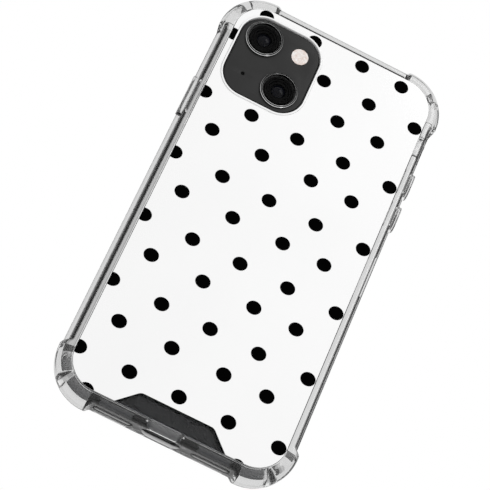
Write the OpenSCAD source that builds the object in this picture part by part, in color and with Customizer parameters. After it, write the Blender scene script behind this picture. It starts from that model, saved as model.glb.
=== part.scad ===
// Clear shock-corner phone case with a spotted back, on the phone that it is made for.
// The pair lies face down: +Z points out of the case's back, +Y to the camera end,
// +X to the side with the volume buttons. Z = 0 is the rim that stands on a table.

/* [Phone] */
// Width of the phone's body
phone_w = 71.5; // [68:0.1:76]
// Length of the phone's body
phone_l = 146.7; // [144:0.1:150]
// Thickness of the phone's body
phone_t = 7.65; // [7.4:0.05:8.2]
// Corner radius of the phone's body
phone_r = 10.2; // [9.5:0.1:11]
// Width of the camera island
island_w = 27.8; // [27:0.1:29]
// Length of the camera island
island_l = 30; // [29:0.1:31]
// How far the island stands above the back glass
island_h = 1.6; // [1.2:0.1:1.8]
// Outer radius of a lens ring
ring_r = 6.45; // [6.2:0.05:6.6]
// How far the lens rings stand above the island
ring_h = 1.1; // [0.8:0.1:1.4]

/* [Case] */
// Thickness of the soft wall around the phone
wall_t = 2.6; // [2.4:0.1:3.2]
// How far the foot of the long sides stands out past the wall
foot_t = 1.4; // [1:0.1:1.6]
// How far the corner bumpers stand out past the wall
bumper_t = 2; // [1.8:0.1:2.2]
// Height of the front rim above the display
front_rim = 1.15; // [1:0.05:1.5]
// Thickness of the hard back plate
plate_t = 1.5; // [1.3:0.1:1.8]
// Thickness of the printed film
film_t = 0.15; // [0.1:0.05:0.2]
// Thickness of the printed spots
ink_t = 0.05; // [0.05:0.01:0.1]
// Gap all round between the phone and the case
fit_gap = 0.15; // [0.12:0.01:0.2]

/* [Spots] */
// Half width of one spot, across the phone
spot_a = 2.47; // [2:0.01:3]
// Half length of one spot, along the phone
spot_b = 2.27; // [2:0.01:3]

/* [Buttons] */
// Travel of a button and of the pad over it
press = 0.25; // [0.2:0.01:0.3]
// How far a button stands out of the phone's side
button_out = 0.45; // [0.4:0.01:0.5]
// Travel of the ring switch
switch_travel = 1.3; // [1:0.1:1.4]

/* [Hidden] */
$fn = 64;

half_w = phone_w / 2;
half_l = phone_l / 2;
phone_z0 = front_rim;
phone_z1 = phone_z0 + phone_t;
mid_z = (phone_z0 + phone_z1) / 2;
eps = 0.02;

// Glass faces and the band that holds them
glass_t = 0.7;
glass_in = 1.1;
glass_r = phone_r - glass_in;
band_t = 2;
step_in = 1;
front_step = phone_z0 + 0.8;
back_step = phone_z1 - 0.8;
band_bevel = 0.3;

// Case levels and widths, u being the distance out from the phone's outline
plate_z0 = phone_z1 + 0.05;
plate_z1 = plate_z0 + plate_t;
film_z1 = plate_z1 + film_t;
rim_top = film_z1 + 0.25;
plate_u = 0.3;
film_u = -0.25;
rim_u = -0.15;
bumper_u = wall_t + bumper_t;
bumper_stub = 1.5;
// The rim is flat from the rim's inner edge out to here
flat_u = 1;
bumper_top = rim_top;
bumper_z0 = 0.25;
wall_shoulder = 8.4;
bumper_shoulder = 6;
foot_u = wall_t + foot_t;

// Camera island: centre, lens offsets from it, corner radius
island_x = -18.95;
island_y = 54.7;
island_r = 8;
island_z0 = phone_z1 - glass_t;
island_z1 = phone_z1 + island_h;
lens_dx = 5.75;
lens_dy = 7.5;
flash_dx = 7.4;
flash_dy = 7.7;
flash_r = 2.9;
mic_dx = -7.3;
mic_dy = -7.6;
mic_r = 0.6;
hole_r = 5;
ring_in = 5.6;
ring_z1 = island_z1 + ring_h;
rim_gap = 0.5;
// How far the island and its opening sit towards +X of the middle of the lenses
island_shift = 0.2;
camera_rim_t = 0.6;
camera_rim_z1 = film_z1 + 0.4;

// Buttons: middle of each along Y, and the length of its pad
power_y = 33.2;
up_y = 39.5;
down_y = 26.5;
switch_y = 53.8;
power_pad_l = 15.4;
volume_pad_l = 9.6;
pad_h = 4.6;
pad_out = 1.75;
pad_t = 1.7;
pad_gap = 1.5;
stub_h = 2.8;
button_h = 2.6;
button_gap = 0.12;
web_u0 = 0.7;
web_u1 = 1.6;
button_in = 2.45;
dome_gap = 0.05;

// Openings in the case's walls
port_w = 12.9;
port_h = 7.0;
port_x = -0.4;
slot_w = 13.2;
slot_h = 3.6;
slot_x = 16.4;
switch_cut_l = 8.6;
switch_cut_h = 5.4;

// Phone's own sockets and slots
socket_w = 9;
socket_h = 3.2;
socket_depth = 6.5;
sim_y = 3;
sim_l = 15;
sim_h = 2.9;
switch_slot_l = 6.4;
switch_l = 5.8;
switch_t = 1.4;

// Spots: two alternating kinds of row, their columns and their places along the phone
spot_skew = -0.018;
cols_a = [-34.7, -17.75, -1, 15.8, 32.95];
cols_b = [-27.2, -9.2, 8.6, 23.4];
rows_a = [58.2, 34.1, 9.6, -14.7, -38.9, -63.2];
rows_b = [70, 46.9, 22.9, -1.7, -25.9, -50.2, -74.4];
ink_centres = concat([for (y = rows_a) for (x = cols_a) [x, y + spot_skew * x]],
                     [for (y = rows_b) for (x = cols_b) [x, y + spot_skew * x]]);

// ---- Shared shapes ----

// Rectangle with round corners, drawn from straight bars and circles
module rounded(w, l, r) {
    square([w - 2 * r, l], center = true);
    square([w, l - 2 * r], center = true);
    for (x = [-1, 1], y = [-1, 1])
        translate([x * (w / 2 - r), y * (l / 2 - r)]) circle(r);
}

// Plate with the phone's outline grown by u, from z0 to z1
module outline_plate(u, z0, z1) {
    translate([0, 0, z0])
        linear_extrude(z1 - z0) rounded(phone_w + 2 * u, phone_l + 2 * u, phone_r + u);
}

// Angle where the quarter turn of the corner at (x, y) starts
function corner_angle(x, y) = x == 1 ? (y == 1 ? 0 : 270) : (y == 1 ? 90 : 180);

// Puts its children at the middle of each corner's arc, turned to where the arc starts
module at_corners() {
    for (x = [0, 1], y = [0, 1])
        translate([(2 * x - 1) * (half_w - phone_r), (2 * y - 1) * (half_l - phone_r), 0])
            rotate([0, 0, corner_angle(x, y)]) children();
}

// Carries a profile of (u, z) points round the four corners, with a stub at each end
module corner_sweeps(stub) {
    at_corners() rotate_extrude(angle = 90) translate([phone_r, 0]) children();
    if (stub > 0) at_corners() {
        translate([phone_r, 0, 0]) rotate([90, 0, 0]) linear_extrude(stub) children();
        rotate([0, 0, 90]) translate([phone_r, stub, 0]) rotate([90, 0, 0])
            linear_extrude(stub) children();
    }
}

// Carries the profile along the four straight sides, less a cut at each end
module side_sweeps(cut) {
    for (a = [0, 180]) {
        rotate([0, 0, a]) translate([half_w, 0, 0]) rotate([90, 0, 0])
            linear_extrude(phone_l - 2 * (phone_r + cut), center = true) children();
        rotate([0, 0, a + 90]) translate([half_l, 0, 0]) rotate([90, 0, 0])
            linear_extrude(phone_w - 2 * (phone_r + cut), center = true) children();
    }
}

// Carries the profile all the way round the phone's outline
module around_phone() {
    corner_sweeps(0) children();
    side_sweeps(0) children();
}

// Slot with round ends: long side along X, cut along Y
module slot_y(w, h, depth) {
    r = h / 2;
    rotate([90, 0, 0]) linear_extrude(depth, center = true) {
        square([w - h, h], center = true);
        for (s = [-1, 1]) translate([s * (w - h) / 2, 0]) circle(r);
    }
}

// Slot with round ends: long side along Y, cut along X
module slot_x(l, h, depth) {
    rotate([0, 0, 90]) slot_y(l, h, depth);
}

// Rounded window with corner radius r: long side along X, cut along Y
module window_y(w, h, r, depth) {
    rotate([90, 0, 0]) linear_extrude(depth, center = true) rounded(w, h, r);
}

// Box from u0 to u1 outside the phone's side, on side s (-1 or +1)
module side_box(s, u0, u1, y, l, z0, z1) {
    x0 = s > 0 ? half_w + u0 : -half_w - u1;
    translate([x0, y - l / 2, z0]) cube([u1 - u0, l, z1 - z0]);
}

// Slotted bar with round ends from u0 to u1 on side s, centred at mid height
module side_bar(s, u0, u1, y, l, h) {
    translate([s * (half_w + (u0 + u1) / 2), y, mid_z]) slot_x(l, h, u1 - u0);
}

module at_island(dx, dy) {
    translate([island_x + dx, island_y + dy, 0]) children();
}

// ---- Case ----

// Outer shoulder from (u_out, z_out) up to (u_in, top), as profile points
function shoulder(u_out, z_out, u_in, top) = [for (i = [0 : 8]) let (t = 90 * i / 8)
    [u_in + (u_out - u_in) * cos(t), z_out + (top - z_out) * sin(t)]];

// Soft wall, with the rabbet that holds the back plate
module wall_profile() {
    polygon(concat(
        [[fit_gap, 0], [wall_t - 0.5, 0], [wall_t - 0.1, 0.3], [wall_t, 0.9]],
        shoulder(wall_t, wall_shoulder, flat_u, rim_top),
        [[rim_u, rim_top], [rim_u, plate_z1], [plate_u, plate_z1], [plate_u, plate_z0], [fit_gap, plate_z0]]));
}

// Corner bumper, moulded onto the outside of the wall
module bumper_profile() {
    core_u = 1.4;
    core_z = 9;
    polygon(concat(
        [[core_u, bumper_z0], [bumper_u - 1.7, bumper_z0], [bumper_u - 0.85, 0.8],
         [bumper_u - 0.35, 2], [bumper_u - 0.1, 3.6]],
        shoulder(bumper_u, bumper_shoulder, flat_u, bumper_top),
        [[flat_u, core_z + 0.5], [core_u, core_z]]));
}

// Foot of a long side, a thicker band round the front of the case
module foot_profile() {
    polygon([[1.2, 0.35], [foot_u - 1.1, 0.35], [foot_u - 0.45, 0.75], [foot_u - 0.05, 1.6],
             [foot_u, 2.1], [foot_u - 0.2, 2.6], [foot_u - 0.7, 2.95], [1.2, 3.3]]);
}

module side_feet() {
    foot_end = 0.8;
    for (a = [0, 180]) rotate([0, 0, a]) translate([half_w, 0, 0]) rotate([90, 0, 0])
        linear_extrude(phone_l - 2 * (phone_r + foot_end), center = true) foot_profile();
}

// Two air chambers in each corner, open to the phone, with a rib left between them
module air_chambers() {
    chamber_depth = 2.7;
    at_corners() for (a = [5, 50])
        rotate([0, 0, a]) rotate_extrude(angle = 35)
            translate([phone_r - 1, 1.8]) square([1 + chamber_depth, 6.4]);
}

// Window, pocket and button relief for a pad on side s
module pad_cut(s, y, pad_l) {
    pocket_l = pad_l + 2 * pad_gap;
    side_bar(s, web_u1, wall_t + 2, y, pocket_l, pad_h + 1.2);
    side_bar(s, 0, web_u1 + 1, y, pad_l - 1.4, stub_h + 0.7);
    side_box(s, -0.5, web_u0, y, pad_l - 1.4, -1, mid_z + button_h / 2 + 0.5);
}

module case_frame() {
    color([0.93, 0.94, 0.95, 0.35]) difference() {
        union() {
            around_phone() wall_profile();
            corner_sweeps(bumper_stub) bumper_profile();
            side_feet();
        }
        air_chambers();
        pad_cut(-1, power_y, power_pad_l);
        pad_cut(1, up_y, volume_pad_l);
        pad_cut(1, down_y, volume_pad_l);
        // Way in to the ring switch
        translate([half_w, switch_y, mid_z]) rotate([0, 0, 90])
            window_y(switch_cut_l, switch_cut_h, 2.2, 12);
        side_box(1, -0.5, web_u0, switch_y, switch_slot_l + 1, -1, mid_z);
        // Charging opening and the two speaker slots in the bottom wall
        translate([port_x, -half_l, mid_z]) window_y(port_w, port_h, 3.3, 12);
        for (s = [-1, 1]) translate([s * slot_x, -half_l, mid_z]) slot_y(slot_w, slot_h, 12);
    }
}

// Soft lip that holds the phone by its front edge
module front_lip() {
    lip_u0 = -0.9;
    color([0.93, 0.94, 0.95, 0.35]) around_phone()
        polygon([[fit_gap, 0.15], [fit_gap, phone_z0 - 0.1], [-0.6, phone_z0 - 0.1],
                 [lip_u0, phone_z0 - 0.4], [lip_u0 + 0.3, 0.5], [-0.1, 0.15]]);
}

// Outline of the camera opening, grown by g
module camera_outline(g) {
    translate([island_x + island_shift, island_y])
        rounded(island_w + 2 * g, island_l + 2 * g, island_r + g);
}

module back_plate() {
    color([0.95, 0.96, 0.97, 0.4]) difference() {
        outline_plate(plate_u, plate_z0, plate_z1);
        translate([0, 0, plate_z0 - 1]) linear_extrude(plate_t + 2)
            camera_outline(rim_gap + camera_rim_t);
    }
}

module camera_rim() {
    color([0.93, 0.94, 0.95, 0.35]) translate([0, 0, plate_z0])
        linear_extrude(camera_rim_z1 - plate_z0) difference() {
            camera_outline(rim_gap + camera_rim_t);
            camera_outline(rim_gap);
        }
}

// Outline of the printed film: the phone's outline with the camera opening cut out
// and a flared notch at the bottom edge
module film_outline() {
    difference() {
        rounded(phone_w + 2 * film_u, phone_l + 2 * film_u, phone_r + film_u);
        camera_outline(rim_gap + camera_rim_t + 0.05);
        bottom_notch();
    }
}

module bottom_notch() {
    notch_top = -67.1;
    notch_x = 0.4;
    top_half = 12.2;
    flank = 1.05;
    bend_r = 2.5;
    foot_y = -half_l - 0.5;
    foot_half = top_half + flank * (notch_top - foot_y);
    bend_x = top_half - bend_r * (sqrt(1 + flank * flank) - flank);
    translate([notch_x, 0]) hull() for (s = [-1, 1]) {
        translate([s * bend_x, notch_top - bend_r]) circle(bend_r, $fn = 48);
        translate([s * (foot_half - 0.5) - 0.5, foot_y - 1]) square([1, 1]);
    }
}

module print_film() {
    color("white") translate([0, 0, plate_z1]) linear_extrude(film_t) film_outline();
}

module print_spots() {
    color([0.03, 0.03, 0.03]) translate([0, 0, film_z1]) linear_extrude(ink_t)
        intersection() {
            film_outline();
            union() for (c = ink_centres) translate(c) scale([spot_a, spot_b]) circle(1, $fn = 36);
        }
}

// Button pad of the case: outer face plate, and the stub that reaches the button
module pad(s, y, l) {
    outer_u0 = web_u1 + press + 0.15;
    color([0.93, 0.94, 0.95, 0.35]) {
        side_bar(s, outer_u0, wall_t + pad_out, y, l, pad_h);
        side_bar(s, button_out + dome_gap, outer_u0 + eps, y, l - 2.4, stub_h);
    }
}

// ---- Phone: band, glass and camera ----

module band_profile() {
    polygon([[-step_in, phone_z0], [-band_bevel, phone_z0], [0, phone_z0 + band_bevel],
             [0, phone_z1 - band_bevel], [-band_bevel, phone_z1], [-step_in, phone_z1],
             [-step_in, back_step], [-band_t, back_step], [-band_t, front_step],
             [-step_in, front_step]]);
}

// Places of the antenna breaks: side walls first, then the end walls
band_y = 60.5;
band_x = 23.6;
module antenna_cuts(g) {
    cut_t = 0.9 + g;
    cut_w = 1 + 2 * g;
    z0 = phone_z0 + band_bevel;
    h = phone_t - 2 * band_bevel;
    for (s = [-1, 1], t = [-1, 1]) {
        translate([s * half_w - (s > 0 ? cut_t : 0), t * band_y - cut_w / 2, z0])
            cube([cut_t, cut_w, h]);
        translate([s * band_x - cut_w / 2, t * half_l - (t > 0 ? cut_t : 0), z0])
            cube([cut_w, cut_t, h]);
    }
}

speaker_pitch = 2.1;
speaker_hole_r = 0.7;
speaker_x0 = 12.4;
screw_x = 7.3;
screw_r = 0.8;

module phone_frame() {
    color([0.16, 0.17, 0.19]) difference() {
        around_phone() band_profile();
        antenna_cuts(0);
        side_bar(-1, -4, 1, power_y, button_len(power_pad_l) + 2 * button_gap,
                 button_h + 2 * button_gap);
        for (y = [up_y, down_y])
            side_bar(1, -4, 1, y, button_len(volume_pad_l) + 2 * button_gap,
                     button_h + 2 * button_gap);
        side_box(1, -3, 1, switch_y, switch_slot_l, mid_z - 1.5, mid_z + 1.5);
        side_box(1, -3, 1, sim_y, sim_l, mid_z - sim_h / 2, mid_z + sim_h / 2);
        translate([0, -half_l, mid_z]) slot_y(socket_w, socket_h, 6);
        for (s = [-1, 1]) {
            translate([s * screw_x, -half_l + 0.95, mid_z]) rotate([90, 0, 0])
                cylinder(r = screw_r + 0.05, h = 3);
            for (i = [0 : 4])
                translate([s * (speaker_x0 + i * speaker_pitch), -half_l + 3, mid_z])
                    rotate([90, 0, 0]) cylinder(r = speaker_hole_r, h = 6);
        }
    }
}

function button_len(pad_l) = pad_l - 3.4;

module antenna_bands() {
    color([0.25, 0.26, 0.28]) antenna_cuts(0);
}

module glass_face(z0) {
    outline_plate(-glass_in, z0, z0 + glass_t);
}

module back_glass() {
    color([0.1, 0.11, 0.13]) difference() {
        glass_face(phone_z1 - glass_t);
        translate([0, 0, phone_z1 - 2]) linear_extrude(4) camera_outline(0.04);
    }
}

module camera_island() {
    bevel = 0.5;
    color([0.2, 0.2, 0.21]) difference() {
        union() {
            translate([0, 0, island_z0]) linear_extrude(island_z1 - island_z0 - bevel)
                camera_outline(0);
            translate([0, 0, island_z0]) linear_extrude(island_z1 - island_z0)
                camera_outline(-bevel);
        }
        for (s = [-1, 1]) at_island(-s * lens_dx, s * lens_dy)
            translate([0, 0, island_z0 - 1]) cylinder(r = hole_r, h = 5);
        at_island(flash_dx, flash_dy) translate([0, 0, island_z1 - 1.2])
            cylinder(r = flash_r + 0.05, h = 3);
        at_island(mic_dx, mic_dy) translate([0, 0, island_z1 - 0.8])
            cylinder(r = mic_r, h = 3);
    }
}

// Metal ring round a lens, with a bevelled crown
module lens_ring(s) {
    color([0.12, 0.12, 0.13]) at_island(-s * lens_dx, s * lens_dy)
        rotate_extrude() polygon([[ring_in, island_z1], [ring_r, island_z1],
            [ring_r, ring_z1 - 0.35], [ring_r - 0.3, ring_z1], [ring_in + 0.2, ring_z1],
            [ring_in, ring_z1 - 0.2]]);
}

module lens_cover(s) {
    color([0.05, 0.05, 0.06, 0.5]) at_island(-s * lens_dx, s * lens_dy)
        translate([0, 0, ring_z1 - 0.65]) cylinder(r = ring_in - 0.04, h = 0.35);
}

// Stepped black funnel under the cover, with the seat for the front element
module lens_barrel(s) {
    top = ring_z1 - 0.7;
    color([0.03, 0.03, 0.03]) at_island(-s * lens_dx, s * lens_dy)
        rotate_extrude() polygon([[0, island_z0], [hole_r - 0.1, island_z0],
            [hole_r - 0.1, top], [4.3, top], [4.1, top - 0.3], [3.6, top - 0.3],
            [3.4, top - 0.7], [2.7, top - 0.7], [2.5, top - 1.2], [0, top - 1.2]]);
}

module lens_element(s) {
    seat = ring_z1 - 1.9;
    dome_r = 3.4;
    rim_r = 2.35;
    drop = sqrt(dome_r * dome_r - rim_r * rim_r);
    color([0.08, 0.09, 0.12]) at_island(-s * lens_dx, s * lens_dy)
        intersection() {
            translate([0, 0, seat]) cylinder(r = rim_r, h = 1.2);
            translate([0, 0, seat - drop + 0.1]) sphere(dome_r);
        }
}

module flash_lens() {
    color([0.95, 0.9, 0.82]) at_island(flash_dx, flash_dy)
        translate([0, 0, island_z1 - 0.7]) cylinder(r = flash_r, h = 0.65);
}

module flash_leds() {
    color([0.95, 0.8, 0.35]) at_island(flash_dx, flash_dy)
        translate([0, 0, island_z1 - 1.18]) {
            cylinder(r = flash_r - 0.2, h = 0.2);
            for (x = [-1, 1]) translate([x * 0.9 - 0.7, -0.7, 0.2]) cube([1.4, 1.4, 0.2]);
        }
}

module rear_mic_mesh() {
    color([0.06, 0.06, 0.06]) at_island(mic_dx, mic_dy)
        translate([0, 0, island_z1 - 0.75]) cylinder(r = mic_r - 0.03, h = 0.2);
}

module camera_module() {
    color([0.1, 0.1, 0.11]) at_island(0, 0) {
        translate([0, 0, 3.5]) linear_extrude(island_z0 - 3.55) rounded(24, 26, 2);
    }
}

// ---- Phone: front side ----

slit_l = 10;
slit_h = 0.8;
slit_y = half_l - 1.9;
front_cam_x = 7.5;
front_cam_y = half_l - 5;
front_cam_r = 1.7;

module display_glass() {
    color([0.02, 0.02, 0.025]) difference() {
        glass_face(phone_z0);
        translate([0, slit_y, phone_z0 - 1]) linear_extrude(3) {
            square([slit_l - slit_h, slit_h], center = true);
            for (s = [-1, 1]) translate([s * (slit_l - slit_h) / 2, 0]) circle(slit_h / 2);
        }
    }
}

module display_panel() {
    panel_t = 0.85;
    margin = 2.4;
    color([0.03, 0.03, 0.04]) translate([0, 0, phone_z0 + glass_t + 0.02])
        linear_extrude(panel_t) difference() {
            rounded(phone_w - 2 * margin, phone_l - 2 * margin, phone_r - margin);
            translate([0, half_l - margin - 2.2]) square([27, 6], center = true);
        }
}

module earpiece_grille() {
    color([0.08, 0.08, 0.09]) translate([0, slit_y, phone_z0 + 0.25]) linear_extrude(0.25)
        square([slit_l - 1.2, slit_h - 0.1], center = true);
}

module front_camera() {
    color([0.05, 0.05, 0.07]) translate([front_cam_x, front_cam_y, phone_z0 + glass_t + 0.02]) {
        cylinder(r = front_cam_r, h = 0.5);
        translate([0, 0, 0.5]) cylinder(r = front_cam_r + 0.6, h = 1.2);
    }
}

// ---- Phone: inside ----

inside_z0 = phone_z0 + 1.62;
plate_h = 0.2;
parts_z0 = inside_z0 + plate_h + 0.1;

module midplate() {
    color([0.55, 0.56, 0.58]) translate([0, 0, inside_z0]) linear_extrude(plate_h)
        difference() {
            rounded(phone_w - 2 * band_t - 0.1, phone_l - 2 * band_t - 0.1,
                    phone_r - band_t - 0.05);
            translate([front_cam_x, front_cam_y]) circle(front_cam_r + 0.8);
        }
}

module battery() {
    color([0.13, 0.13, 0.14]) translate([-31, -48, parts_z0]) cube([36, 86, 3.6]);
}

module logic_board() {
    color([0.05, 0.2, 0.12]) translate([8, -20, parts_z0]) cube([22.6, 84, 0.8]);
}

module shield_cans() {
    color([0.75, 0.76, 0.78]) for (c = [[-18, 12], [16, 18], [38, 22]])
        translate([9.5, c[0], parts_z0 + 0.82]) cube([12.5, c[1], 1.5]);
}

coil_z0 = phone_z1 - glass_t - 0.65;

module charging_coil() {
    color([0.72, 0.45, 0.2]) translate([0, 0, coil_z0]) difference() {
        cylinder(r = 23, h = 0.5);
        translate([0, 0, -1]) cylinder(r = 10, h = 3);
    }
}

// Ring of separate magnets round the coil
module magnet_ring() {
    magnets = 18;
    gap_angle = 4;
    color([0.6, 0.6, 0.62]) for (i = [0 : magnets - 1])
        rotate([0, 0, 360 * i / magnets]) translate([0, 0, coil_z0])
            rotate_extrude(angle = 360 / magnets - gap_angle)
                translate([24.8, 0]) square([2.6, 0.55]);
}

module speaker_module() {
    color([0.1, 0.1, 0.1]) translate([10.5, -69, parts_z0]) cube([20.5, 17, 3.4]);
}

module haptic_motor() {
    color([0.6, 0.6, 0.6]) translate([-31, -68, parts_z0]) cube([20, 9, 3.4]);
}

module charge_socket() {
    shell = 0.4;
    back = -half_l + band_t + socket_depth;
    color([0.5, 0.5, 0.52]) difference() {
        translate([0, -half_l + band_t + 0.05 + socket_depth / 2, mid_z])
            slot_y(socket_w + 2 * shell, socket_h + 2 * shell, socket_depth);
        translate([0, back - 1 - socket_depth, mid_z]) slot_y(socket_w, socket_h, 2 * socket_depth);
    }
}

module socket_contacts() {
    color([0.85, 0.68, 0.3]) for (i = [-3.5 : 1 : 3.5])
        translate([i * 0.85 - 0.2, -half_l + band_t + 1.5, mid_z - socket_h / 2])
            cube([0.4, 3, 0.15]);
}

module bottom_screws() {
    color([0.3, 0.31, 0.33]) for (s = [-1, 1])
        translate([s * screw_x, -half_l + 0.93, mid_z]) rotate([90, 0, 0]) difference() {
            cylinder(r = screw_r, h = 0.8);
            translate([0, 0, 0.4]) cylinder(r = 0.45, h = 1, $fn = 5);
        }
}

module sim_tray() {
    tray_in = 13;
    color([0.18, 0.19, 0.21]) difference() {
        union() {
            side_box(1, -1.8, -0.03, sim_y, sim_l - 0.1, mid_z - sim_h / 2 + 0.05,
                     mid_z + sim_h / 2 - 0.05);
            side_box(1, -tray_in, -1.8, sim_y, 13.6, mid_z - 0.6, mid_z + 0.6);
        }
        side_box(1, -tray_in + 0.7, -2.9, sim_y, 12.4, mid_z - 0.2, mid_z + 2);
        // Pin hole that lets the tray out
        translate([half_w - 1.2, sim_y - 5.8, mid_z]) rotate([0, 90, 0]) cylinder(r = 0.45, h = 3);
    }
}

module sim_card() {
    color([0.9, 0.9, 0.88]) side_box(1, -12.25, -2.95, sim_y, 12.3, mid_z - 0.18, mid_z + 0.5);
}

// ---- Phone: buttons ----

module phone_button(s, y, pad_l) {
    l = button_len(pad_l);
    color([0.2, 0.21, 0.23]) {
        side_bar(s, -button_in + 0.35, button_out, y, l, button_h);
        side_bar(s, -button_in, -button_in + 0.35 + eps, y, l + 1.2, button_h + 0.9);
    }
}

module ring_switch() {
    z0 = mid_z - switch_travel / 2 - switch_t / 2;
    color([0.2, 0.21, 0.23]) {
        side_box(1, -2.1, button_out, switch_y, switch_l, z0, z0 + switch_t);
        side_box(1, -2.6, -2.1, switch_y, switch_l + 1.4, z0 - 0.5, z0 + switch_t + 0.5);
    }
}

module dome_switches() {
    dome_u = button_in + press + dome_gap;
    color([0.8, 0.8, 0.8]) for (b = [[-1, power_y], [1, up_y], [1, down_y]])
        translate([b[0] * (half_w - dome_u), b[1], mid_z]) rotate([0, -b[0] * 90, 0]) {
            cylinder(r = 1.1, h = 0.3);
            translate([0, 0, 0.3]) cylinder(r = 1.5, h = 0.5);
        }
}

case_frame();
front_lip();
back_plate();
camera_rim();
print_film();
print_spots();
pad(-1, power_y, power_pad_l);  // power_pad
pad(1, up_y, volume_pad_l);  // volume_up_pad
pad(1, down_y, volume_pad_l);  // volume_down_pad
phone_frame();
antenna_bands();
back_glass();
camera_island();
lens_ring(-1);  // lens_ring_wide
lens_ring(1);  // lens_ring_ultrawide
lens_cover(-1);  // lens_cover_wide
lens_cover(1);  // lens_cover_ultrawide
lens_barrel(-1);  // lens_barrel_wide
lens_barrel(1);  // lens_barrel_ultrawide
lens_element(-1);  // lens_element_wide
lens_element(1);  // lens_element_ultrawide
flash_lens();
flash_leds();
rear_mic_mesh();
camera_module();
display_glass();
display_panel();
earpiece_grille();
front_camera();
midplate();
battery();
logic_board();
shield_cans();
charging_coil();
magnet_ring();
speaker_module();
haptic_motor();
charge_socket();
socket_contacts();
bottom_screws();
sim_tray();
sim_card();
phone_button(-1, power_y, power_pad_l);  // side_button
phone_button(1, up_y, volume_pad_l);  // volume_up_button
phone_button(1, down_y, volume_pad_l);  // volume_down_button
ring_switch();
dome_switches();
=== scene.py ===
"""Looks of the clear shock-corner case with a spotted back, and of the phone in it.

Lengths are in millimetres in the frame of the CAD model until mesh() and plate() scale them to metres.
u is the distance out from the phone's outline, as in the CAD source.
"""

import math

import bmesh
import bpy
import numpy as np
from mathutils import Matrix, Vector


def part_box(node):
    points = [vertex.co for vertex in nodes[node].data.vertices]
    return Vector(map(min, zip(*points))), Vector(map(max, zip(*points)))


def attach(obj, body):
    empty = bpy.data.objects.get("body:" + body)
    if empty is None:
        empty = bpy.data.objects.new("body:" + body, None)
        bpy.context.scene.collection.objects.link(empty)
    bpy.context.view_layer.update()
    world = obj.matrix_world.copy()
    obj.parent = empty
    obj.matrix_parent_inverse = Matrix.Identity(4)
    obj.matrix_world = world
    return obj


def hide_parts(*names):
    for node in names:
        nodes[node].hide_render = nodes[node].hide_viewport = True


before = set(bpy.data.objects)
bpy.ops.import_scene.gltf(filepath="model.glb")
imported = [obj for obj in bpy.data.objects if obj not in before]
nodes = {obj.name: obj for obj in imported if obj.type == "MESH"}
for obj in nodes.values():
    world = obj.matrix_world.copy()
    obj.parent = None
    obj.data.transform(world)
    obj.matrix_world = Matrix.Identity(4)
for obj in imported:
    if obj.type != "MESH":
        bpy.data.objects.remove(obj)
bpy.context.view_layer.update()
MM = 0.001


def span(node):
    """A CAD node's lowest and highest corner, in millimetres."""
    low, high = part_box(node)
    return np.array(low) / MM, np.array(high) / MM


def middle(node):
    """The middle of a CAD node's box, seen from above."""
    low, high = span(node)
    return (low[0] + high[0]) / 2, (low[1] + high[1]) / 2


# ---- Sizes read from the CAD model's boxes ----
phone_lo, phone_hi = span("phone_frame")
plate_lo, plate_hi = span("back_plate")
island_lo, island_hi = span("camera_island")
rim_lo, rim_hi = span("camera_rim")
ring_lo, ring_hi = span("lens_ring_wide")
case_hi = span("case_frame")[1]
HALF_W, HALF_L = phone_hi[0], phone_hi[1]
MID_Z = (phone_lo[2] + phone_hi[2]) / 2
BUMPER = case_hi[0] - HALF_W
RIM_TOP = case_hi[2]

# ---- Sizes that the boxes don't give, as in the CAD source ----
PHONE_R = 10.2
WALL = 2.6
WALL_SHOULDER = 8.4
BUMPER_SHOULDER = 6.0
FLAT_U = 1.0
RIM_U = -0.15
BUTTON_U = 0.45
PAD_FACE = 4.35

# The wall's inner face lies on the phone's outline
INNER_U = 0.0

# How far neighbouring pieces run into each other, so that no gap shows between them
LAP = 0.02


# ---- Mesh helpers ----
def smoothstep(a, b, x):
    """0 up to a, 1 from b on, and a smooth rise between them."""
    t = np.clip((x - a) / (b - a), 0, 1)
    return t * t * (3 - 2 * t)


def mesh(name, verts, faces, mat, body=None, sharp=35.0):
    """A piece from points in millimetres, shaded smooth except across edges over sharp degrees."""
    data = bpy.data.meshes.new(name)
    data.from_pydata([tuple(float(c) * MM for c in v) for v in verts], [], faces)
    data.validate()
    obj = bpy.data.objects.new(name, data)
    bpy.context.scene.collection.objects.link(obj)
    shade_smooth(obj, sharp)
    if mat:
        data.materials.append(mat)
    if body:
        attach(obj, body)
    return obj


def shade_smooth(obj, sharp):
    """Faces outward, smooth shading, and hard edges where faces meet at more than sharp degrees."""
    bm = bmesh.new()
    bm.from_mesh(obj.data)
    bmesh.ops.recalc_face_normals(bm, faces=bm.faces)
    limit = math.radians(sharp)
    for f in bm.faces:
        f.smooth = True
    for e in bm.edges:
        e.smooth = len(e.link_faces) == 2 and e.calc_face_angle(4) < limit
    bm.to_mesh(obj.data)
    bm.free()


def loft(rings, closed=False, caps=True):
    """Points and faces of a skin over rings with equal point counts.

    closed joins the last ring to the first, and caps closes the ends of an open one."""
    count, size = len(rings), len(rings[0])
    verts = [p for ring in rings for p in ring]
    faces = []
    for i in range(count if closed else count - 1):
        j = (i + 1) % count
        for k in range(size):
            m = (k + 1) % size
            faces.append((i * size + k, i * size + m, j * size + m, j * size + k))
    if caps and not closed:
        faces.append(tuple(range(size)))
        faces.append(tuple(range((count - 1) * size, count * size)))
    return verts, faces


def lathe(profile, x, y, steps=96):
    """Points and faces of a closed (r, z) profile turned about the vertical axis at (x, y)."""
    rings = []
    for i in range(steps):
        a = 2 * math.pi * i / steps
        rings.append([(x + r * math.cos(a), y + r * math.sin(a), z) for r, z in profile])
    return loft(rings, closed=True)


def circle(r, x, y, steps=64):
    """Outline of a circle about (x, y)."""
    return [(x + r * math.cos(2 * math.pi * i / steps), y + r * math.sin(2 * math.pi * i / steps))
            for i in range(steps)]


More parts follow.
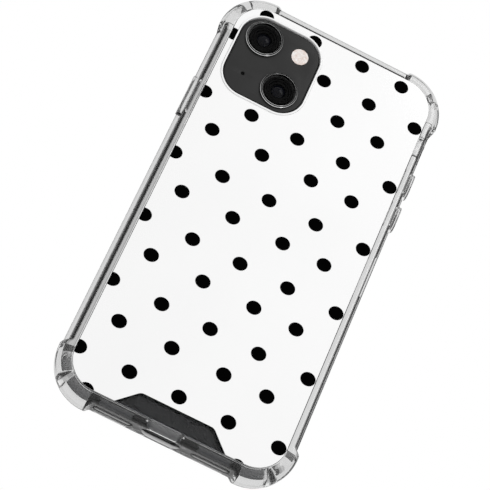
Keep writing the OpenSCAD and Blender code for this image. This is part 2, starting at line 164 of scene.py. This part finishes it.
def stadium(length, height, steps=16):
    """Outline of a slot with round ends about the origin."""
    pts = []
    for side, start in ((1, -90), (-1, 90)):
        for i in range(steps + 1):
            a = math.radians(start + 180 * i / steps)
            pts.append((side * (length - height) / 2 + height / 2 * math.cos(a), height / 2 * math.sin(a)))
    return pts


CORNERS = ((1, 1), (-1, 1), (-1, -1), (1, -1))


def rounded(width, length, r, x=0.0, y=0.0, steps=16):
    """Outline of a rectangle with round corners about (x, y)."""
    pts = []
    for k, (sx, sy) in enumerate(CORNERS):
        for i in range(steps + 1):
            a = math.radians(90 * k + 90 * i / steps)
            pts.append((x + sx * (width / 2 - r) + r * math.cos(a),
                        y + sy * (length / 2 - r) + r * math.sin(a)))
    return pts


def fillet(cx, cz, r, start, end, steps=6):
    """Points of an arc about (cx, cz), angles in degrees."""
    return [(cx + r * math.cos(math.radians(a)), cz + r * math.sin(math.radians(a)))
            for a in np.linspace(start, end, steps)]


def plate(name, outlines, z0, z1, bevel, mat, body, res=3):
    """A flat plate with holes and rounded edges. The first outline is its rim, the others its holes."""
    curve = bpy.data.curves.new(name, "CURVE")
    curve.dimensions = "2D"
    curve.fill_mode = "BOTH"
    for pts in outlines:
        spline = curve.splines.new("POLY")
        spline.points.add(len(pts) - 1)
        for p, (x, y) in zip(spline.points, pts):
            p.co = (x * MM, y * MM, 0, 1)
        spline.use_cyclic_u = True
    curve.extrude = ((z1 - z0) / 2 - bevel) * MM
    curve.bevel_depth = bevel * MM
    curve.bevel_resolution = res
    curve.offset = -bevel * MM
    holder = bpy.data.objects.new(name + "_curve", curve)
    bpy.context.scene.collection.objects.link(holder)
    holder.location.z = (z0 + z1) / 2 * MM
    bpy.context.view_layer.update()
    deps = bpy.context.evaluated_depsgraph_get()
    data = bpy.data.meshes.new_from_object(holder.evaluated_get(deps), depsgraph=deps)
    data.transform(holder.matrix_world)
    bpy.data.objects.remove(holder)
    data.name = name
    obj = bpy.data.objects.new(name, data)
    bpy.context.scene.collection.objects.link(obj)
    bm = bmesh.new()
    bm.from_mesh(data)
    bmesh.ops.remove_doubles(bm, verts=bm.verts, dist=0.001 * MM)
    bm.to_mesh(data)
    bm.free()
    data.materials.clear()
    shade_smooth(obj, 30)
    data.materials.append(mat)
    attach(obj, body)
    return obj


# ---- Materials ----
def grey(v, tint=(1, 1, 1)):
    """A grey of brightness v, tinted."""
    return tuple(v * t for t in tint)


def ramp_node(tree, source, stops):
    """A colour ramp over a factor, as stops of (place, colour)."""
    node = tree.nodes.new("ShaderNodeValToRGB")
    while len(node.color_ramp.elements) < len(stops):
        node.color_ramp.elements.new(0.5)
    for element, (place, colour) in zip(node.color_ramp.elements, stops):
        element.position = place
        element.color = (*colour, 1)
    tree.links.new(source, node.inputs["Fac"])
    return node.outputs["Color"]


def noise_node(tree, coords, scale, detail=3.0, rough=0.55):
    """Noise over coords, mostly between 0.3 and 0.7."""
    node = tree.nodes.new("ShaderNodeTexNoise")
    node.inputs["Scale"].default_value = scale
    node.inputs["Detail"].default_value = detail
    node.inputs["Roughness"].default_value = rough
    tree.links.new(coords, node.inputs["Vector"])
    return node.outputs["Fac"]


def range_node(tree, source, low, high):
    """A noise's usual range stretched to run from low to high."""
    node = tree.nodes.new("ShaderNodeMapRange")
    node.inputs["From Min"].default_value = 0.3
    node.inputs["From Max"].default_value = 0.7
    node.inputs["To Min"].default_value = low
    node.inputs["To Max"].default_value = high
    tree.links.new(source, node.inputs["Value"])
    return node.outputs["Result"]


def surface(name, dark, light, rough, grain, bump=0.0, bump_grain=None, **sockets):
    """A Principled material: colour mottled from dark to light, roughness between two values, fine bump.

    grain is the mottling's size as a noise scale per metre, bump the height in millimetres, and
    sockets are the shader's own values by name."""
    mat = bpy.data.materials.new(name)
    mat.use_nodes = True
    tree = mat.node_tree
    shader = tree.nodes["Principled BSDF"]
    coords = tree.nodes.new("ShaderNodeTexCoord").outputs["Object"]
    mottle = noise_node(tree, coords, grain)
    tree.links.new(ramp_node(tree, mottle, [(0.3, dark), (0.7, light)]), shader.inputs["Base Color"])
    smear = noise_node(tree, coords, grain * 0.37, 4.0)
    tree.links.new(range_node(tree, smear, *rough), shader.inputs["Roughness"])
    if bump:
        node = tree.nodes.new("ShaderNodeBump")
        node.inputs["Strength"].default_value = 1.0
        node.inputs["Distance"].default_value = bump * MM
        height = noise_node(tree, coords, bump_grain or grain * 4, 2.0)
        tree.links.new(height, node.inputs["Height"])
        tree.links.new(node.outputs["Normal"], shader.inputs["Normal"])
    for key, value in sockets.items():
        shader.inputs[key.replace("_", " ")].default_value = value
    return mat


def polished(name, dark, light, edge, rough, grain):
    """A dark metal whose rounded edges are polished bright, by the tilt of the surface."""
    mat = surface(name, dark, light, rough, grain, Metallic=1.0)
    tree = mat.node_tree
    shader = tree.nodes["Principled BSDF"]
    ground = shader.inputs["Base Color"].links[0].from_socket
    tilt = tree.nodes.new("ShaderNodeSeparateXYZ")
    tree.links.new(tree.nodes["Texture Coordinate"].outputs["Normal"], tilt.inputs["Vector"])
    tilted = [(0.3, grey(0)), (0.5, grey(1)), (0.78, grey(1)), (0.88, grey(0))]
    share = ramp_node(tree, tilt.outputs["Z"], tilted)
    mix = tree.nodes.new("ShaderNodeMix")
    mix.data_type = "RGBA"
    tree.links.new(share, mix.inputs["Factor"])
    tree.links.new(ground, mix.inputs["A"])
    mix.inputs["B"].default_value = (*edge, 1)
    tree.links.new(mix.outputs["Result"], shader.inputs["Base Color"])
    return mat


MATERIALS = {
    "clear_soft": surface("clear_soft", grey(0.955), grey(0.985, (1, 1, 0.998)), (0.0, 0.02), 60,
                          Transmission_Weight=1.0, IOR=1.49),
    # The clear plate bends light little, so that the dark notch under it shows without grain
    "clear_hard": surface("clear_hard", grey(0.97), grey(0.99), (0.0, 0.01), 40,
                          Transmission_Weight=1.0, IOR=1.05),
    "white_print": surface("white_print", grey(0.87), grey(0.885), (0.28, 0.36), 30,
                           0.0008, 2500, Coat_Weight=0.35, Coat_Roughness=0.08),
    "black_ink": surface("black_ink", grey(0.0004), grey(0.0008), (0.35, 0.45), 300,
                         Specular_IOR_Level=0.005),
    "dark_metal": surface("dark_metal", grey(0.05, (1, 1.03, 1.1)), grey(0.065, (1, 1.03, 1.1)),
                          (0.38, 0.46), 90, 0.001, 9000, Metallic=0.7),
    "band_plastic": surface("band_plastic", grey(0.05), grey(0.065), (0.4, 0.5), 200, 0.001, 4000),
    "dark_glass": surface("dark_glass", grey(0.028, (1, 1.02, 1.05)), grey(0.036, (1, 1.02, 1.05)),
                          (0.04, 0.08), 25, Specular_IOR_Level=0.15),
    "matte_island": surface("matte_island", grey(0.012), grey(0.016), (0.42, 0.5), 120,
                            0.0012, 7000, Specular_IOR_Level=0.28),
    "lens_metal": polished("lens_metal", grey(0.008), grey(0.012), grey(0.75), (0.05, 0.1), 300),
    "lens_glass": surface("lens_glass", grey(0.002), grey(0.004), (0.02, 0.05), 200,
                          Alpha=0.08, Specular_IOR_Level=0.0),
    "element_glass": surface("element_glass", (0.002, 0.0025, 0.004), (0.003, 0.003, 0.006),
                             (0.03, 0.06), 400, Specular_IOR_Level=0.14),
    "black_plastic": surface("black_plastic", grey(0.002), grey(0.004), (0.4, 0.55), 400,
                             0.001, 8000, Specular_IOR_Level=0.05),
    "flash_diffuser": surface("flash_diffuser", (0.8, 0.64, 0.57), (1.0, 0.99, 0.97), (0.2, 0.35), 900,
                              0.02, 1200, Transmission_Weight=0.2),
    "led_phosphor": surface("led_phosphor", (0.85, 0.6, 0.2), (0.95, 0.75, 0.35), (0.5, 0.6), 1500,
                            0.004, 4000),
    "panel": surface("panel", grey(0.006), grey(0.01), (0.3, 0.4), 200),
    "bare_metal": surface("bare_metal", grey(0.45), grey(0.6), (0.25, 0.4), 250, 0.002, 6000,
                          Metallic=1.0),
    "battery_wrap": surface("battery_wrap", grey(0.012), grey(0.02), (0.35, 0.5), 120, 0.006, 1500),
    "board": surface("board", (0.008, 0.045, 0.02), (0.015, 0.075, 0.035), (0.3, 0.45), 500,
                     0.004, 4000),
    "copper": surface("copper", (0.55, 0.25, 0.12), (0.75, 0.38, 0.2), (0.25, 0.4), 600, 0.006, 3000,
                      Metallic=1.0),
    "gold": surface("gold", (0.75, 0.5, 0.16), (0.9, 0.65, 0.25), (0.18, 0.3), 900, Metallic=1.0),
    "card_plastic": surface("card_plastic", grey(0.75), grey(0.85), (0.35, 0.45), 200, 0.001, 5000),
}

# The CAD nodes that show as they are, by the material that each takes
NODES_BY_MATERIAL = {
    "clear_soft": ["front_lip"],
    "white_print": ["print_film"],
    "black_ink": ["print_spots"],
    "dark_metal": ["phone_frame", "side_button", "volume_up_button", "volume_down_button",
                   "ring_switch", "sim_tray", "bottom_screws"],
    "band_plastic": ["antenna_bands"],
    "dark_glass": ["back_glass", "display_glass"],
    "lens_glass": ["lens_cover_wide", "lens_cover_ultrawide"],
    "element_glass": ["lens_element_wide", "lens_element_ultrawide"],
    "black_plastic": ["lens_barrel_wide", "lens_barrel_ultrawide", "rear_mic_mesh", "camera_module",
                      "earpiece_grille", "front_camera", "speaker_module"],
    "flash_diffuser": ["flash_lens"],
    "led_phosphor": ["flash_leds"],
    "panel": ["display_panel"],
    "bare_metal": ["midplate", "shield_cans", "magnet_ring", "haptic_motor", "charge_socket",
                   "dome_switches"],
    "battery_wrap": ["battery"],
    "board": ["logic_board"],
    "copper": ["charging_coil"],
    "gold": ["socket_contacts"],
    "card_plastic": ["sim_card"],
}
for material_name, node_names in NODES_BY_MATERIAL.items():
    for node_name in node_names:
        node_data = nodes[node_name].data
        node_data.materials.clear()
        node_data.materials.append(MATERIALS[material_name])


# ---- Case shell ----
# Places on a straight side, by their distance from the corner's end, dense where the shape changes.
NEAR_CORNER = [0.1, 0.2, 0.3, 0.4, 0.5, 0.6, 0.7, 0.8, 1.0, 1.2, 1.4, 1.6, 1.8, 2.0, 2.2, 2.4, 3.0]
# Over these distances from the corner's end, the air chamber closes and the bumper falls to the wall.
CHAMBER_END = (0.1, 0.7)
BUMPER_END = (0.5, 2.3)
# The rib between a corner's two chambers, in degrees from the corner's start. Its flanks reach
# RIB_FLANK[0] degrees into the rib and RIB_FLANK[1] degrees into the chamber.
RIB = (40, 50)
RIB_FLANK = (1.6, 2.4)
CHAMBER = 2.7
CHAMBER_Z = (1.8, 8.2)
CHAMBER_R = 0.7
RIM_EDGE = 0.4
OUTER_SKIN = np.array([
    # wall u, z; bumper u, z; foot u, z: the outer skin from the rim's flat up to the shoulder
    (1.90, 0.00, 2.70, 0.25, 2.60, 0.35),
    (2.15, 0.01, 3.05, 0.31, 2.95, 0.38),
    (2.33, 0.08, 3.42, 0.52, 3.25, 0.50),
    (2.45, 0.20, 3.74, 0.84, 3.52, 0.74),
    (2.54, 0.40, 4.02, 1.35, 3.78, 1.12),
    (2.58, 0.62, 4.22, 1.92, 3.94, 1.60),
    (2.60, 0.90, 4.36, 2.60, 4.00, 2.08),
    (2.60, 1.50, 4.45, 3.20, 3.93, 2.42),
    (2.60, 2.20, 4.51, 3.80, 3.74, 2.68),
    (2.60, 2.80, 4.55, 4.30, 3.42, 2.86),
    (2.60, 3.20, 4.58, 4.80, 3.05, 2.98),
    (2.60, 3.60, 4.595, 5.20, 2.76, 3.16),
    (2.60, 4.10, 4.60, 5.60, 2.63, 3.50),
    (2.60, 5.20, 4.60, 5.80, 2.60, 4.20)])
WALL_SKIN = OUTER_SKIN[:, 0:2]
BUMPER_SKIN = OUTER_SKIN[:, 2:4]
FOOT_SKIN = OUTER_SKIN[:, 4:6]


def straight_station(cx, cy, angle, step, foot):
    """A station on a straight side, a step past the end at angle of the corner about (cx, cy)."""
    nx, ny = math.cos(angle), math.sin(angle)
    bumper = 1 - smoothstep(*BUMPER_END, abs(step))
    chamber = 1 - smoothstep(*CHAMBER_END, abs(step))
    return cx + PHONE_R * nx - step * ny, cy + PHONE_R * ny + step * nx, nx, ny, bumper, chamber, foot


def stations():
    """Places round the phone's outline: x, y, outward normal, and shares of bumper, air chamber and foot."""
    rows = []
    for k, (sx, sy) in enumerate(CORNERS):
        cx, cy = sx * (HALF_W - PHONE_R), sy * (HALF_L - PHONE_R)
        start, end = math.radians(90 * k), math.radians(90 * k + 90)
        # The corner's two ends lie on a long and a short side in turn, and only the long ones have a foot
        start_foot, end_foot = 1 - k % 2, k % 2
        for d in reversed(NEAR_CORNER):
            rows.append(straight_station(cx, cy, start, -d, start_foot))
        for deg in np.linspace(0, 90, 91):
            a = start + math.radians(deg)
            chamber = max(1 - smoothstep(RIB[0] - RIB_FLANK[1], RIB[0] + RIB_FLANK[0], deg),
                          smoothstep(RIB[1] - RIB_FLANK[0], RIB[1] + RIB_FLANK[1], deg))
            nx, ny = math.cos(a), math.sin(a)
            rows.append((cx + PHONE_R * nx, cy + PHONE_R * ny, nx, ny, 1, chamber, 0))
        for d in NEAR_CORNER:
            rows.append(straight_station(cx, cy, end, d, end_foot))
    return rows


def shell_profile(bumper, chamber, foot):
    """Cross-section of the soft wall as (u, z).

    bumper goes from plain wall to bumper, chamber from solid to air chamber, and foot from none to
    the thick foot of the long sides."""
    pts = [(INNER_U, 0.25), (INNER_U + 0.07, 0.07), (INNER_U + 0.25, 0)]
    base = WALL_SKIN + foot * (FOOT_SKIN - WALL_SKIN)
    pts += [tuple(p) for p in base + bumper * (BUMPER_SKIN - base)]
    out = WALL + (BUMPER - WALL) * bumper
    shoulder = WALL_SHOULDER + (BUMPER_SHOULDER - WALL_SHOULDER) * bumper
    pts += [(FLAT_U + (out - FLAT_U) * math.cos(t), shoulder + (RIM_TOP - shoulder) * math.sin(t))
            for t in np.radians(np.linspace(0, 90, 25))]
    pts += fillet(RIM_U + RIM_EDGE, RIM_TOP - RIM_EDGE, RIM_EDGE, 90, 180, 9)
    pts += [(RIM_U, plate_hi[2]), (RIM_U, plate_lo[2] + LAP), (INNER_U, plate_lo[2] + LAP)]
    # The air chamber is a hollow in the inner face, with rounded inner corners
    z0, z1 = CHAMBER_Z
    deep = INNER_U + (CHAMBER - INNER_U) * chamber
    half = INNER_U + (deep - INNER_U) * 0.5
    turn = CHAMBER_R * 0.3
    before_turn = max(deep - CHAMBER_R, INNER_U)
    in_turn = max(deep - turn, INNER_U)
    pts += [(INNER_U, z1 + 0.05), (half, z1), (before_turn, z1), (in_turn, z1 - turn),
            (deep, z1 - CHAMBER_R), (deep, (z0 + z1) / 2), (deep, z0 + CHAMBER_R),
            (in_turn, z0 + turn), (before_turn, z0), (half, z0), (INNER_U, z0 - 0.05)]
    return pts


def sweep(profile_at):
    """Rings of a profile carried round the phone's outline."""
    rings = []
    for x, y, nx, ny, *shares in stations():
        rings.append([(x + u * nx, y + u * ny, z) for u, z in profile_at(*shares)])
    return rings


# ---- Openings, pockets and pads ----
def side_tube(side, levels, at):
    """Closed skin of outlines stacked along a side's normal, at half the phone's height.

    levels are (u, outline), and at is the place along the side."""
    rings = []
    for u, outline in levels:
        if side == "bottom":
            rings.append([(at + p, -(HALF_L + u), MID_Z + q) for p, q in outline])
        elif side == "right":
            rings.append([(HALF_W + u, at + p, MID_Z + q) for p, q in outline])
        else:
            rings.append([(-(HALF_W + u), at + p, MID_Z + q) for p, q in outline])
    return loft(rings)


def grown(shape, length, height, levels, r=None):
    """Levels of (u, growth) as (u, outline)."""
    if shape == "stadium":
        return [(u, stadium(length + 2 * g, height + 2 * g)) for u, g in levels]
    return [(u, rounded(length + 2 * g, height + 2 * g, r + g)) for u, g in levels]


# An opening's cutter starts inside the phone's outline and ends well outside the wall
CUT_FROM = -1.0
CUT_PAST = 3


def flare(u_surface, r, draft=0.0):
    """Levels of an opening, larger by draft at its inner end, with its edge rounded by r at u_surface."""
    rows = [(CUT_FROM, draft)]
    for t in np.radians(np.linspace(0, 90, 7)):
        rows.append((u_surface - r + r * math.sin(t), r * (1 - math.cos(t))))
    rows.append((u_surface + CUT_PAST, r))
    return rows


def cut(obj, parts):
    """Takes the given (verts, faces) solids out of obj."""
    for i, (verts, faces) in enumerate(parts):
        tool = mesh(f"cutter{i}", verts, faces, None)
        mod = obj.modifiers.new("cut", "BOOLEAN")
        mod.operation = "DIFFERENCE"
        mod.solver = "EXACT"
        mod.object = tool
        deps = bpy.context.evaluated_depsgraph_get()
        data = bpy.data.meshes.new_from_object(obj.evaluated_get(deps), depsgraph=deps)
        obj.modifiers.remove(mod)
        obj.data = data
        bpy.data.objects.remove(tool)
    shade_smooth(obj, 33)


def merged(parts):
    """Several (verts, faces) solids as one."""
    verts, faces = [], []
    for v, f in parts:
        faces += [tuple(i + len(verts) for i in face) for face in f]
        verts += v
    return verts, faces


# Charging opening and speaker slots in the bottom wall, ring switch opening in the right wall.
# The charging opening is a little lower than the CAD's and has a draft, so that its level faces
# don't mirror the floor.
PORT_L, PORT_H, PORT_R, PORT_X = 12.9, 6.6, 3.2, -0.4
PORT_EDGE = 0.2
PORT_DRAFT = 0.75
SPEAKER_L, SPEAKER_H, SPEAKER_X = 13.2, 3.6, 16.4
SWITCH_L, SWITCH_H, SWITCH_R, SWITCH_Y = 8.6, 5.4, 2.2, 53.8
OPENING_EDGE = 0.35

# Pads: name, the phone's button behind it, side, place along the side and length
PADS = [
    ("power_pad", "side_button", "left", 33.2, 15.4),
    ("volume_up_pad", "volume_up_button", "right", 39.5, 9.6),
    ("volume_down_pad", "volume_down_button", "right", 26.5, 9.6),
]
PAD_H = 4.6
PAD_EDGE = 0.3
# A pad starts at CAP_U, in a pocket that leaves it its travel and a little more
CAP_U = 1.9
PRESS = 0.25
POCKET_SPARE = 0.05
POCKET_PLAY = 0.3
POCKET_EDGE = 0.15
WELL_PLAY = 0.1

verts, faces = loft(sweep(shell_profile), closed=True)
shell = mesh("case_shell", verts, faces, MATERIALS["clear_soft"])
port_levels = grown("rect", PORT_L, PORT_H, flare(WALL, PORT_EDGE, PORT_DRAFT), PORT_R)
bottom_cuts = [side_tube("bottom", port_levels, PORT_X)]
for s in (-1, 1):
    slot_levels = grown("stadium", SPEAKER_L, SPEAKER_H, flare(WALL, OPENING_EDGE))
    bottom_cuts.append(side_tube("bottom", slot_levels, s * SPEAKER_X))
pockets = []
wells = []
for _, button, side, at, length in PADS:
    low, high = span(button)
    well = stadium(high[1] - low[1] + WELL_PLAY, high[2] - low[2] + WELL_PLAY)
    wells.append(side_tube(side, [(CUT_FROM, well), (BUTTON_U - LAP, well)], at))
    levels = [(CAP_U - PRESS - POCKET_SPARE, stadium(length, PAD_H))]
    levels += grown("stadium", length + POCKET_PLAY, PAD_H + POCKET_PLAY, flare(WALL, POCKET_EDGE)[1:])
    pockets.append(side_tube(side, levels, at))
switch_levels = grown("rect", SWITCH_L, SWITCH_H, flare(WALL, OPENING_EDGE), SWITCH_R)
switch_cut = side_tube("right", switch_levels, SWITCH_Y)
cut(shell, [merged(bottom_cuts), merged([*pockets, switch_cut]), merged(wells)])
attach(shell, "case")
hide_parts("case_frame")

# Clear plate, which meets the soft frame at the rim's inner edge. Its hole is RIM_LAP narrower than
# the camera rim, so that the two join.
ISLAND_R = 8
island_size = island_hi - island_lo
rim_size = rim_hi - rim_lo
rim_r = ISLAND_R + (rim_size[0] - island_size[0]) / 2
RIM_T = 0.6
RIM_LAP = 0.1
RIM_AT = middle("camera_rim")

plate_outline = rounded(2 * (HALF_W + RIM_U + LAP), 2 * (HALF_L + RIM_U + LAP), PHONE_R + RIM_U)
plate_hole = rounded(rim_size[0] - RIM_LAP, rim_size[1] - RIM_LAP, rim_r, *RIM_AT)
back = plate("back_plate_soft", [plate_outline, plate_hole], plate_lo[2], plate_hi[2],
             bevel=0.02, mat=MATERIALS["clear_hard"], body="case", res=1)
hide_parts("back_plate")

# Pads over the phone's buttons
for name, _, side, at, length in PADS:
    levels = [(CAP_U, stadium(length, PAD_H))]
    for t in np.radians(np.linspace(0, 90, 8)):
        g = -PAD_EDGE * (1 - math.cos(t))
        levels.append((PAD_FACE - PAD_EDGE + PAD_EDGE * math.sin(t), stadium(length + 2 * g, PAD_H + 2 * g)))
    verts, faces = side_tube(side, levels, at)
    pad = mesh(name + "_soft", verts, faces, MATERIALS["clear_soft"], name, 40)
    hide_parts(name)

# ---- Camera rim, island and lens rings ----
ISLAND_AT = middle("camera_island")
LENSES = {key: middle(f"lens_ring_{key}") for key in ("ultrawide", "wide")}
FLASH_AT = middle("flash_lens")
MIC_AT = middle("rear_mic_mesh")
LENS_HOLE_R = 5.0
FLASH_HOLE_R = 2.95
MIC_HOLE_R = 0.6

rim_outer = rounded(rim_size[0], rim_size[1], rim_r, *RIM_AT)
rim_inner = rounded(rim_size[0] - 2 * RIM_T, rim_size[1] - 2 * RIM_T, rim_r - RIM_T, *RIM_AT)
rim = plate("camera_rim_soft", [rim_outer, rim_inner], rim_lo[2], rim_hi[2],
            bevel=0.2, mat=MATERIALS["white_print"], body="case", res=4)
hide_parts("camera_rim")

holes = [circle(LENS_HOLE_R, *LENSES["ultrawide"]), circle(LENS_HOLE_R, *LENSES["wide"]),
         circle(FLASH_HOLE_R, *FLASH_AT), circle(MIC_HOLE_R, *MIC_AT, 24)]
island_outline = rounded(island_size[0], island_size[1], ISLAND_R, *ISLAND_AT)
island = plate("camera_island_soft", [island_outline, *holes], island_lo[2], island_hi[2],
               bevel=0.28, mat=MATERIALS["matte_island"], body="phone", res=4)
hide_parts("camera_island")

# A lens ring has a high inner band from RING_IN to BAND_R and a lower outer band up to RING_OUT
RING_IN, BAND_R, RING_OUT = 5.6, 5.96, 6.45
BAND_DROP = 0.28
INNER_EDGE, BAND_EDGE, OUTER_EDGE = 0.12, 0.2, 0.42
z0, z1 = ring_lo[2], ring_hi[2]
ring_profile = [(RING_IN, z0), (RING_OUT, z0)]
ring_profile += fillet(RING_OUT - OUTER_EDGE, z1 - BAND_DROP - OUTER_EDGE, OUTER_EDGE, 0, 90, 9)
ring_profile += [(BAND_R + 0.02, z1 - BAND_DROP), (BAND_R, z1 - BAND_DROP + 0.03)]
ring_profile += fillet(BAND_R - BAND_EDGE, z1 - BAND_EDGE, BAND_EDGE, 0, 90, 6)
ring_profile += fillet(RING_IN + INNER_EDGE, z1 - INNER_EDGE, INNER_EDGE, 90, 180, 5)
for key, (x, y) in LENSES.items():
    verts, faces = lathe(ring_profile, x, y)
    ring = mesh(f"lens_ring_{key}_turned", verts, faces, MATERIALS["lens_metal"], "phone", 40)
    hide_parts(f"lens_ring_{key}")


# ---- Floor ----
def emitter(name, camera_value, other_value):
    """A white glowing material: one brightness to the camera, another to light and reflections."""
    mat = bpy.data.materials.new(name)
    mat.use_nodes = True
    tree = mat.node_tree
    tree.nodes.clear()
    path = tree.nodes.new("ShaderNodeLightPath")
    value = tree.nodes.new("ShaderNodeMapRange")
    value.inputs["To Min"].default_value = other_value
    value.inputs["To Max"].default_value = camera_value
    glow = tree.nodes.new("ShaderNodeEmission")
    out = tree.nodes.new("ShaderNodeOutputMaterial")
    tree.links.new(path.outputs["Is Camera Ray"], value.inputs["Value"])
    tree.links.new(value.outputs["Result"], glow.inputs["Strength"])
    tree.links.new(glow.outputs["Emission"], out.inputs["Surface"])
    return mat


FLOOR_HALF = 3000
FLOOR_Z = -0.3
floor_points = [(sx * FLOOR_HALF, sy * FLOOR_HALF, FLOOR_Z) for sx, sy in CORNERS]
floor = mesh("floor", floor_points, [(0, 1, 2, 3)], emitter("floor_white", 1.0, 0.7))

# Painted shadow: dim glowing patches on the floor under the phone stand in for its shade, which reaches
# further out at the end away from the light.
# Each patch: how far out along the sides and at that end, its height and its brightness.
PAINTED_SHADES = ((0.95, 1.9, -0.25, 0.46), (0.55, 1.5, -0.2, 0.3), (0.2, 1.2, -0.15, 0.01))
for i, (side_u, end_u, z, brightness) in enumerate(PAINTED_SHADES):
    outline = rounded(2 * (HALF_W + side_u), 2 * HALF_L + end_u, PHONE_R, 0, -end_u / 2)
    shade = mesh(f"shade_{i}", [(x, y, z) for x, y in outline], [tuple(range(len(outline)))],
                 emitter(f"floor_shade_{i}", brightness, brightness))


# ---- Sky, lamps and camera ----
def studio_sky(stops):
    """A sky that is plain white to the camera and a soft dome to light and reflections.

    stops are the dome's (height, brightness), with height the sine of the angle above the horizon."""
    world = bpy.data.worlds.new("studio")
    bpy.context.scene.world = world
    world.use_nodes = True
    tree = world.node_tree
    tree.nodes.clear()
    coords = tree.nodes.new("ShaderNodeTexCoord").outputs["Generated"]
    split = tree.nodes.new("ShaderNodeSeparateXYZ")
    tree.links.new(coords, split.inputs["Vector"])
    dome = ramp_node(tree, split.outputs["Z"], [(height, grey(v)) for height, v in stops])
    path = tree.nodes.new("ShaderNodeLightPath")
    mix = tree.nodes.new("ShaderNodeMix")
    mix.data_type = "RGBA"
    tree.links.new(path.outputs["Is Camera Ray"], mix.inputs["Factor"])
    tree.links.new(dome, mix.inputs["A"])
    mix.inputs["B"].default_value = (1, 1, 1, 1)
    background = tree.nodes.new("ShaderNodeBackground")
    tree.links.new(mix.outputs["Result"], background.inputs["Color"])
    out = tree.nodes.new("ShaderNodeOutputWorld")
    tree.links.new(background.outputs["Background"], out.inputs["Surface"])


def lamp(name, at, width, height, power):
    """A soft lamp that faces the object, its place and size in metres and its power in watts."""
    data = bpy.data.lights.new(name, "AREA")
    data.shape = "RECTANGLE"
    data.size = width
    data.size_y = height
    data.energy = power
    obj = bpy.data.objects.new(name, data)
    bpy.context.scene.collection.objects.link(obj)
    obj.location = at
    obj.rotation_mode = "QUATERNION"
    obj.rotation_quaternion = (-Vector(at)).to_track_quat("-Z", "Y")
    obj.visible_transmission = False
    return obj


studio_sky([(0.0, 0.35), (0.12, 0.45), (0.45, 0.9), (1.0, 1.0)])
lamp("key", (0.35, 0.45, 0.6), width=0.5, height=0.3, power=1.3)
lamp("edge", (0.6, -0.5, 0.4), width=0.2, height=0.8, power=0.5)

# The camera's place in metres, the directions of its right and of its view, and its focal length
CAMERA_AT = (-0.0371, -0.2405, 0.5089)
VIEW_RIGHT = Vector((0.8939, 0.3789, 0.2395)).normalized()
VIEW_FORWARD = Vector((0.0636, 0.4217, -0.9045)).normalized()
VIEW_UP = VIEW_RIGHT.cross(VIEW_FORWARD)
FOCAL_MM = 128.7
SENSOR_MM = 36

camera = bpy.data.objects.new("camera", bpy.data.cameras.new("camera"))
bpy.context.scene.collection.objects.link(camera)
bpy.context.scene.camera = camera
camera.data.sensor_width = SENSOR_MM
camera.data.lens = FOCAL_MM
camera.rotation_mode = "QUATERNION"
camera.rotation_quaternion = Matrix((VIEW_RIGHT, VIEW_UP, -VIEW_FORWARD)).transposed().to_quaternion()
camera.location = CAMERA_AT
camera.data.clip_start = 0.01
camera.data.clip_end = 20
bpy.context.scene.view_settings.view_transform = "Standard"
